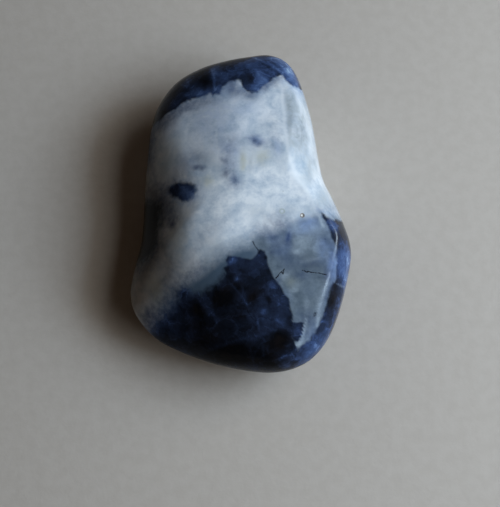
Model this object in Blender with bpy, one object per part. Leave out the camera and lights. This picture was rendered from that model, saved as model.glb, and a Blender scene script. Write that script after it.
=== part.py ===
"""A tumbled sodalite pebble, at its real size, lying on the small flat spot of its underside.

The stone is one solid. Its form is a rounded flank that follows the outline seen from above, closed by a domed
top and a shallow underside, and flattened by the broad facets that the broken chip had before it was tumbled.
+Z is up, +Y is the long way, and the origin is the middle of the stone's box, at the level that it rests on.
"""

import math

import bmesh
import bpy
import numpy as np

MM = 0.001

# Driving dimensions, in millimetres.
HEIGHT = 13.6
HEART_LEVEL = 6.2
BOX_MIDDLE = (-0.09, -0.31)
REACH = 30.0

# The outline from above at the waist, anticlockwise from the right, in millimetres.
OUTLINE = (
    (10.3, 0.6), (9.3, 2.9), (8.8, 5.2), (7.95, 10.6), (6.6, 15.3), (5.2, 17.5), (3.2, 18.4), (0.8, 18.2),
    (-2.0, 17.7), (-4.9, 16.9), (-7.6, 15.4), (-9.5, 12.8), (-10.4, 9.8), (-10.85, 5.0), (-11.3, 0.0),
    (-11.4, -4.0), (-12.0, -7.0), (-12.5, -10.0), (-12.1, -12.6), (-10.0, -15.1), (-6.7, -16.6),
    (-2.1, -18.2), (3.0, -19.05), (6.6, -18.25), (9.0, -16.1), (10.7, -12.55), (12.0, -7.5), (12.15, -4.9),
    (11.4, -2.2),
)
CURVE_STEPS = 12

# The flank, by the direction it faces: (direction in degrees, level of the waist, how far it has drawn in
# LEAN_RISE above the waist, and LEAN_RISE below it, roundness of its top edge), in millimetres.
LEAN_RISE = 6.0
LEAN = (
    (6, 6.2, 2.7, 3.0, 0.8), (31, 6.2, 2.5, 3.2, 1.0), (55, 6.2, 2.5, 3.4, 1.1), (80, 6.2, 3.0, 3.6, 2.0),
    (110, 6.4, 3.2, 3.6, 3.0), (150, 6.4, 3.2, 3.6, 3.0), (185, 6.2, 3.4, 3.4, 3.4), (215, 4.8, 3.6, 3.4, 2.6),
    (235, 4.8, 3.8, 3.6, 2.6), (260, 5.6, 3.6, 3.6, 2.6), (280, 6.0, 3.2, 3.4, 2.0), (300, 6.0, 1.5, 3.2, 0.9),
    (315, 6.2, 1.4, 3.0, 0.5), (330, 6.2, 1.9, 3.0, 0.35), (346, 6.2, 2.7, 3.0, 0.5),
)

# The domed top: its summit, and its radius of curvature to the left, to the right and along the stone.
SUMMIT = (-0.6, 1.5)
TOP_BEND = (34.0, 60.0, 48.0)
# The underside: a shallow dome cut off by the flat spot that the stone rests on.
UNDER_BEND = (26.0, 52.0)
UNDER_DEPTH = 0.45

# The tumbled facets: (faces towards, in degrees), (rises above level, in degrees), a point on it, roundness.
FACETS = (
    ("left shoulder", 178, 66, (-3.4, 3.0, 13.3), 1.4),
    ("upper left shoulder", 150, 62, (-2.2, 10.6, 12.75), 1.7),
    ("lower left shoulder", 222, 52, (-6.0, -10.5, 10.4), 2.0),
    ("lower right side", -20, 32, (9.76, -9.5, 11.45), 0.35),
    ("lower right corner", -39, 45, (6.75, -16.3, 9.85), 0.3),
)
UNDER_ROUNDNESS = 2.0
# The shallow hollow on the left, between the two lobes: part of a ball's surface.
HOLLOW_CENTRE = (-19.2, -1.6, 19.2)
HOLLOW_RADIUS = 14.0
HOLLOW_ROUNDNESS = 2.2

GRID_CUTS = 27
BISECTIONS = 26


def closed_curve(points, steps):
    """Points along the smooth closed curve through these, as a Catmull-Rom spline."""
    knots = np.array(points, float)
    before, after, next_after = (np.roll(knots, shift, axis=0) for shift in (1, -1, -2))
    t = (np.arange(steps) / steps)[None, :, None]
    a, b, c, d = (k[:, None, :] for k in (before, knots, after, next_after))
    bend = 2 * b + (c - a) * t + (2 * a - 5 * b + 4 * c - d) * t**2 + (3 * b - a - 3 * c + d) * t**3
    return (bend / 2).reshape(-1, knots.shape[1])


def around(directions, column):
    """A column of LEAN read round the stone in these directions, eased from one line to the next."""
    table = np.array(LEAN, float)
    edges = np.append(table[:, 0], table[0, 0] + 360)
    values = np.append(table[:, column], table[0, column])
    degrees = (np.degrees(directions) - edges[0]) % 360 + edges[0]
    line = np.clip(np.searchsorted(edges, degrees, side="right") - 1, 0, len(table) - 1)
    t = (degrees - edges[line]) / (edges[line + 1] - edges[line])
    return values[line] + (values[line + 1] - values[line]) * t * t * (3 - 2 * t)


def smooth_max(a, b, roundness):
    """The larger of two distances, blended over the roundness where they are close."""
    overlap = np.maximum(roundness - np.abs(a - b), 0) / roundness
    return np.maximum(a, b) + overlap**2 * roundness / 4


def outline_radius(directions):
    curve = closed_curve(OUTLINE, CURVE_STEPS)
    turn = np.arctan2(curve[:, 1], curve[:, 0])
    order = np.argsort(turn)
    return np.interp(directions, turn[order], np.hypot(curve[:, 0], curve[:, 1])[order], period=2 * math.pi)


def outside(points):
    """How far points, in millimetres from the origin, lie outside the stone; negative is inside."""
    x, y, z = points.T
    directions = np.arctan2(y, x)
    waist, above, below, roundness = (around(directions, column) for column in (1, 2, 3, 4))
    rise = z - waist
    flank = np.hypot(x, y) - outline_radius(directions) + np.where(rise > 0, above, below) * (rise / LEAN_RISE) ** 2
    across, along = x - SUMMIT[0], y - SUMMIT[1]
    bend = np.where(across < 0, TOP_BEND[0], TOP_BEND[1])
    top = z - HEIGHT + across**2 / (2 * bend) + along**2 / (2 * TOP_BEND[2])
    for _, faces, rises, place, blend in FACETS:
        turn, lift = math.radians(faces), math.radians(rises)
        normal = np.array([math.cos(turn) * math.cos(lift), math.sin(turn) * math.cos(lift), math.sin(lift)])
        top = smooth_max(top, (points - np.array(place)) @ normal, blend)
    hollow = HOLLOW_RADIUS - np.linalg.norm(points - np.array(HOLLOW_CENTRE), axis=1)
    top = smooth_max(top, hollow, HOLLOW_ROUNDNESS)
    under = x**2 / (2 * UNDER_BEND[0]) + y**2 / (2 * UNDER_BEND[1]) - z - UNDER_DEPTH
    return smooth_max(smooth_max(flank, top, roundness), under, UNDER_ROUNDNESS)


def surface_points(directions):
    """Where rays from the heart of the stone, one for each direction, leave it."""
    heart = np.array([0, 0, HEART_LEVEL])
    near, far = np.zeros(len(directions)), np.full(len(directions), REACH)
    for _ in range(BISECTIONS):
        middle = (near + far) / 2
        inside = outside(heart + directions * middle[:, None]) < 0
        near, far = np.where(inside, middle, near), np.where(inside, far, middle)
    return heart + directions * near[:, None]


def stone_mesh():
    """A cube's grid of quads, thrown out to the surface of the stone and cut level where it rests."""
    bm = bmesh.new()
    bmesh.ops.create_cube(bm, size=2)
    bmesh.ops.subdivide_edges(bm, edges=bm.edges[:], cuts=GRID_CUTS, use_grid_fill=True)
    spread = np.array([v.co for v in bm.verts])
    spread = np.tan(spread * math.pi / 4)
    directions = spread / np.linalg.norm(spread, axis=1)[:, None]
    points = surface_points(directions) - np.array([*BOX_MIDDLE, 0])
    for vert, point in zip(bm.verts, points):
        vert.co = point * MM
    cut = bmesh.ops.bisect_plane(
        bm, geom=bm.verts[:] + bm.edges[:] + bm.faces[:], plane_co=(0, 0, 0), plane_no=(0, 0, -1), clear_outer=True
    )
    rim = [item for item in cut["geom_cut"] if isinstance(item, bmesh.types.BMEdge)]
    bmesh.ops.edgeloop_fill(bm, edges=rim)
    bmesh.ops.recalc_face_normals(bm, faces=bm.faces[:])
    mesh = bpy.data.meshes.new("sodalite_pebble")
    bm.to_mesh(mesh)
    bm.free()
    mesh.shade_smooth()
    return mesh


def stone_material():
    material = bpy.data.materials.new("polished_sodalite")
    material.use_nodes = True
    shader = material.node_tree.nodes["Principled BSDF"]
    shader.inputs["Base Color"].default_value = (0.22, 0.27, 0.36, 1)
    shader.inputs["Roughness"].default_value = 0.2
    shader.inputs["Metallic"].default_value = 0
    return material


def main():
    for obj in list(bpy.data.objects):
        bpy.data.objects.remove(obj)
    mesh = stone_mesh()
    mesh.materials.append(stone_material())
    bpy.context.scene.collection.objects.link(bpy.data.objects.new("sodalite_pebble", mesh))


main()
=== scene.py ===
"""The tumbled sodalite pebble with its polished, marked surface, under soft light from the right.

The pebble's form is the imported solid's, worked out again at a finer grain, so that the polish and the marks
have a smooth surface to lie on. Lengths here are in millimetres and become metres where a mesh is made.
"""

import math

import bmesh
import bpy
import numpy as np
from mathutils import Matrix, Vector, noise


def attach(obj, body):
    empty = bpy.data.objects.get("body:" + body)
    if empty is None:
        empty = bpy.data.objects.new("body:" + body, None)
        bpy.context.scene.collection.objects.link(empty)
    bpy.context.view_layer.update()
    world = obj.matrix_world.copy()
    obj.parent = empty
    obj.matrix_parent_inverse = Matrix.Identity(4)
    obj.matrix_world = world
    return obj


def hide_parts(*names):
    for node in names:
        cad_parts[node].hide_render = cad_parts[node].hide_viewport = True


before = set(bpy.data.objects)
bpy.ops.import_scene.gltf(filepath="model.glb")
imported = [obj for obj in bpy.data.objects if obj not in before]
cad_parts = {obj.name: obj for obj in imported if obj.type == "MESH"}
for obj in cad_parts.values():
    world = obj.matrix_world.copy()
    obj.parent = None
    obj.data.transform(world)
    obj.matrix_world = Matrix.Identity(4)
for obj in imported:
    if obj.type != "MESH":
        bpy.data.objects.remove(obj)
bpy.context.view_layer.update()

MM = 0.001
PER_MM = 1000

# The viewer's place: how far it leans from straight above, how far off it is, and what it looks at.
VIEW_TILT = math.radians(20)
VIEW_DISTANCE = 190.3
VIEW_TARGET = np.array([1.02, -2.9, 0.0])
VIEW_FOCAL_PX = 1647.0
FRAME_HEIGHT_PX = 507
SENSOR = 36.0
VIEW_RIGHT = np.array([1.0, 0.0, 0.0])
VIEW_UP = np.array([0.0, math.cos(VIEW_TILT), math.sin(VIEW_TILT)])
TOWARDS_VIEWER = np.array([0.0, -math.sin(VIEW_TILT), math.cos(VIEW_TILT)])
EYE = VIEW_TARGET + TOWARDS_VIEWER * VIEW_DISTANCE

# The pebble's size, in millimetres, as in the solid.
HEIGHT = 13.6
HEART_LEVEL = 6.2
BOX_MIDDLE = np.array([-0.09, -0.31, 0.0])
REACH = 30.0
POLISHED_OFF = 0.03

# The outline from above at the waist, anticlockwise from the right.
OUTLINE = (
    (10.3, 0.6), (9.3, 2.9), (8.8, 5.2), (7.95, 10.6), (6.6, 15.3), (5.2, 17.5), (3.2, 18.4), (0.8, 18.2),
    (-2.0, 17.7), (-4.9, 16.9), (-7.6, 15.4), (-9.5, 12.8), (-10.4, 9.8), (-10.85, 5.0), (-11.3, 0.0),
    (-11.4, -4.0), (-12.0, -7.0), (-12.5, -10.0), (-12.1, -12.6), (-10.0, -15.1), (-6.7, -16.6),
    (-2.1, -18.2), (3.0, -19.05), (6.6, -18.25), (9.0, -16.1), (10.7, -12.55), (12.0, -7.5), (12.15, -4.9),
    (11.4, -2.2),
)
CURVE_STEPS = 12

# The flank, by the direction it faces: (direction in degrees, level of the waist, how far it has drawn in
# LEAN_RISE above the waist, and LEAN_RISE below it, roundness of its top edge).
LEAN_RISE = 6.0
LEAN = (
    (6, 6.2, 2.7, 3.0, 0.8), (31, 6.2, 2.5, 3.2, 1.0), (55, 6.2, 2.5, 3.4, 1.1), (80, 6.2, 3.0, 3.6, 2.0),
    (110, 6.4, 3.2, 3.6, 3.0), (150, 6.4, 3.2, 3.6, 3.0), (185, 6.2, 3.4, 3.4, 3.4),
    (215, 4.8, 3.6, 3.4, 2.6), (235, 4.8, 3.8, 3.6, 2.6), (260, 5.6, 3.6, 3.6, 2.6),
    (280, 6.0, 3.2, 3.4, 2.0), (300, 6.0, 1.5, 3.2, 0.9),
    (315, 6.2, 1.4, 3.0, 0.5), (330, 6.2, 1.9, 3.0, 0.35), (346, 6.2, 2.7, 3.0, 0.5),
)

# The domed top: its summit, and its radius of curvature to the left, to the right and along the pebble.
SUMMIT = (-0.6, 1.5)
TOP_BEND = (34.0, 60.0, 48.0)
# The underside, and the flat spot that the pebble rests on.
UNDER_BEND = (26.0, 52.0)
UNDER_DEPTH = 0.45
UNDER_ROUNDNESS = 2.0
REST_ROUNDNESS = 0.15

# The tumbled facets: (faces towards, in degrees), (rises above level, in degrees), a point on it, roundness.
FACETS = (
    ("left shoulder", 178, 66, (-3.4, 3.0, 13.3), 1.4),
    ("upper left shoulder", 150, 62, (-2.2, 10.6, 12.75), 1.7),
    ("lower left shoulder", 222, 52, (-6.0, -10.5, 10.4), 2.0),
    ("lower right side", -20, 32, (9.76, -9.5, 11.45), 0.35),
    ("lower right corner", -39, 45, (6.75, -16.3, 9.85), 0.3),
)
# The shallow hollow on the left, between the two lobes: part of a ball's surface.
HOLLOW_CENTRE = (-19.2, -1.6, 19.2)
HOLLOW_RADIUS = 14.0
HOLLOW_ROUNDNESS = 2.2

GRID_CUTS = 124
BISECTIONS = 26

# The light: (name, towards, in degrees, above level, in degrees, distance, size, power, colour).
LIGHTS = (
    ("window", -5.5, 41, 225, (150, 85), 0.26, (0.76, 1.0, 1.26)),
    ("glow_round_the_window", -5.5, 40, 225, (300, 230), 0.39, (0.98, 1.0, 0.99)),
)
LIGHT_TARGET = (0, 0, 5)
# What little comes back from the room.
ROOM_COLOUR = (1.0, 0.74, 0.54)
ROOM_STRENGTH = 0.036

FLOOR_SIZE = 900

MARKINGS = ("navy", "veil", "thin", "ink_and_shade", "painted_shade", "blue", "dark", "pale", "grey", "cream")
CREST_FROM = 0.35
CREST_TO = 1.6

# The minerals' colours.
WHITE_LOW = (0.4, 0.5, 0.61, 1)
WHITE_HIGH = (0.84, 0.88, 0.92, 1)
GREY_AND_SHADE = (0.33, 0.375, 0.4, 1)
CREAM = (0.56, 0.57, 0.47, 1)
WHITE_BLUE = (0.33, 0.45, 0.68, 1)
VEIL_LOW = (0.06, 0.085, 0.115, 1)
VEIL_HIGH = (0.19, 0.24, 0.29, 1)
VEIL_GREY = (0.08, 0.1, 0.11, 1)
VEIL_CREAM = (0.26, 0.29, 0.26, 1)
VEIL_BLUE = (0.19, 0.275, 0.47, 1)
# The veil's pale colour, also used for the painted highlights on the ridges.
VEIL_PALE_AND_GLINT = (0.42, 0.5, 0.58, 1)
NAVY_STOPS = (
    (0.0, (0.0035, 0.004, 0.0055)), (0.2, (0.008, 0.011, 0.02)), (0.42, (0.018, 0.028, 0.06)),
    (0.65, (0.046, 0.081, 0.19)), (0.85, (0.11, 0.18, 0.36)), (1.0, (0.28, 0.4, 0.58)),
)
NAVY_BROWN = (0.012, 0.009, 0.008, 1)
# A dark warm tint for the painted shade on the left, shadowed side, partly the greyer see-through white
# there.
SHADE_TINT = (0.34, 0.29, 0.25, 1)
THIN = (0.075, 0.112, 0.16, 1)
INK_AND_SHADE = (0.022, 0.045, 0.125, 1)
FRINGE = (0.18, 0.285, 0.46, 1)
FRINGE_REACH = 0.7
FRINGE_STRENGTH = 0.8
CRACK = (0.006, 0.006, 0.012, 1)
CRACK_WIDTH = 0.09
PIT_RIM = (0.22, 0.15, 0.09, 1)
# The bright painted glint in the open pit.
PIT_GLINT = (0.9, 0.88, 0.82, 1)
PIT_FILLING = (0.4, 0.46, 0.42, 1)
FLOOR_LOW = (0.515, 0.46, 0.405)
FLOOR_HIGH = (0.545, 0.49, 0.435)

# The markings, each drawn as the viewer sees it: millimetres right and up of the middle of the view.
# An outline is (softness of its edge, its corners).
ZONES = {
    "navy": (
        # the cap over the top end
        (0.2, ((-12.71, 11.96), (-11.9, 13.35), (-11.44, 14.5), (-10.75, 15.19), (-10.1, 15.62),
            (-9.48, 16.35), (-8.55, 16.73), (-8.09, 17.23), (-7.45, 17.47), (-7.08, 17.74), (-6.82, 17.51),
            (-6.59, 17.85), (-5.72, 18.08), (-4.97, 18.28), (-4.51, 18.52), (-4.24, 18.2), (-3.93, 18.43),
            (-3.5, 18.34), (-3.26, 19.2), (-2.77, 19.59), (-2.02, 19.87), (-1.39, 19.99), (-1.04, 19.87),
            (-0.81, 19.24), (-0.4, 18.78), (0.23, 18.6), (0.92, 18.66), (1.31, 19.08), (2.05, 19.7),
            (2.89, 20.31), (3.7, 20.8), (3.81, 20.51), (4.16, 19.93), (4.74, 19.53), (5.32, 19.24),
            (5.95, 18.95), (7.16, 18.66), (8.09, 22.36), (4.62, 25.83), (-2.31, 25.83), (-10.4, 22.36),
            (-14.44, 16.58))),
        # the mass at the lower end, with its peaks
        (0.2, ((-7.63, -5.37), (-6.93, -5.14), (-6.24, -5.72), (-5.55, -5.37), (-4.74, -4.68),
            (-3.81, -3.93), (-3.12, -3.06), (-2.72, -2.25), (-3.06, -1.73), (-2.6, -1.33), (-2.8, -0.69),
            (-2.54, -0.35), (-1.99, -0.32), (-0.88, -0.52), (0, -0.64), (0.6, -0.32), (0.97, 0.29),
            (1.34, 0.53), (1.71, 0.29), (1.95, -0.32), (2.2, -1.44), (2.58, -2.54), (3.18, -3.35),
            (3.76, -4.22), (4.39, -5.14), (4.71, -6.12), (4.99, -7.22), (5.03, -8.34), (4.91, -9.57),
            (5.17, -10.43), (5.43, -10.8), (5.66, -11.38), (5.78, -12.08), (5.78, -15.77), (-1.16, -15.77),
            (-6.93, -14.04), (-8.32, -10))),
        # its hazy upper left side and its blurred left end
        (0.75, ((-8.6, -4.3), (-7.8, -4), (-7.2, -4), (-6.7, -4.7), (-6.2, -5), (-5.8, -4.7), (-5.1, -4.1),
            (-4.1, -3.5), (-3.2, -2.8), (-2.9, -2.1), (-2.1, -2.5), (-2.1, -7.7), (-6.9, -10))),
        (1.1, ((-7.6, -4.7), (-8.3, -5.5), (-8.9, -6.4), (-9.9, -7.3), (-10.9, -8.1), (-11.4, -9.1),
            (-12.1, -10.6), (-10.4, -13.5), (-5.8, -14.6), (-2.3, -13.5), (-2.3, -5.4), (-5.8, -4.4))),
        # the blob above the hollow, and the patch on the left flank
        (0.4, ((-9.42, 7.28), (-9.13, 7.86), (-8.55, 8.11), (-8.07, 8.18), (-7.4, 8.09), (-6.83, 8.07),
            (-6.36, 7.92), (-6.24, 7.45), (-6.41, 6.88), (-6.71, 6.41), (-7.28, 6.12), (-7.82, 6.03),
            (-8.32, 6.3), (-9.05, 6.47))),
        (0.8, ((-12, 6.2), (-11.3, 6), (-10.6, 5.8), (-10.3, 5.5), (-10.3, 4.4), (-10.4, 3.3), (-10.5, 2.4),
            (-10.7, 1.3), (-11.1, 0.3), (-11.6, -0.3), (-12.9, -1), (-14.1, 2.7), (-13.5, 6.8))),
        # the dark parts of the right flank
        (0.2, ((8.2, 4.74), (8.55, 4.56), (9.13, 4.1), (9.59, 3.81), (10.02, 3.93), (10.55, 3.7),
            (11.79, 3.41), (13.4, 0.4), (12.94, -3.64), (11.09, -4.1), (10.28, -3.58), (9.82, -3.52),
            (10.05, -0.98), (10.02, 0.55), (9.76, 1.21), (9.36, 2.37), (8.78, 3.52))),
        (0.25, ((9.5, -3.35), (10.28, -3.58), (11.09, -4.1), (12.48, -4.45), (11.56, -8.26), (9.24, -11.73),
            (6.36, -14.04), (5.32, -13.69), (5.43, -11.15), (6.12, -10.46), (6.82, -10), (7.28, -9.53),
            (7.68, -8.84), (8.03, -8.15), (8.38, -7.22), (8.75, -5.95), (9.11, -4.68))),
        # the small wedge between the veil and the lower corner
        (0.12, ((5.03, -7.94), (5.55, -7.86), (6.17, -7.94), (6.12, -8.72), (5.95, -9.53), (5.43, -10.4),
            (5.08, -10), (4.8, -9.42))),
    ),
    # the haze along the left end of the dark mass
    "ink_and_shade": (
        (1.4, ((-7.6, -5.1), (-8.8, -5.6), (-9.6, -6.4), (-10.7, -7.1), (-11.6, -7.9), (-12.1, -9),
            (-12.4, -11.2), (-5.8, -14.6), (-2.3, -8.8))),
    ),
    # where the white thins out towards the dark mass
    "thin": (
        (1.2, ((-10.4, -7), (-8.8, -4.7), (-7.2, -2.8), (-5.3, -1.4), (-3.2, 0.2), (-1.4, 1.1), (0.2, 1.4),
            (1.4, 1.3), (2.1, -0.1), (1.4, -4.2), (-1.2, -6.5), (-6.9, -7.7))),
    ),
    "veil": (
        (0.7, ((0.5, 1.6), (0.9, 2), (1.8, 2.3), (2.5, 2.5), (3.3, 2.7), (3.9, 3.1), (4.6, 3.5), (5.3, 3.8),
            (6, 4), (7, 4), (7.9, 4.4), (8.3, 4.2), (10.4, 4.3), (12.9, 1.6), (12.9, -5.4), (11, -10.6),
            (8.1, -13.5), (4, -13.7), (3.9, -10.6), (3.2, -6), (1.7, -3.1), (0.9, -0.8), (0.5, 0.8))),
    ),
    # painted shade along the left side, which faces away from the light, partly the greyer see-through white
    # there
    "painted_shade": (
        (1.7, ((-17.3, 17.7), (-11.6, 16.1), (-11.1, 12), (-10.3, 8.5), (-9.8, 5.6), (-8.9, 2.7), (-7.6, -1),
            (-8.1, -3.5), (-9.5, -5.3), (-10.9, -6.3), (-12.1, -7.1), (-13.2, -8.4), (-14.1, -10.6),
            (-22, -10.6))),
        (1.2, ((-17.3, 10.8), (-12, 10.8), (-11.2, 8.7), (-9.9, 7.3), (-9, 5.6), (-9, 2.9), (-10.2, 1),
            (-11.3, -1), (-12.5, -3.1), (-13.4, -5.4), (-13.9, -8.8), (-22, -8.8))),
    ),
}
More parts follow.
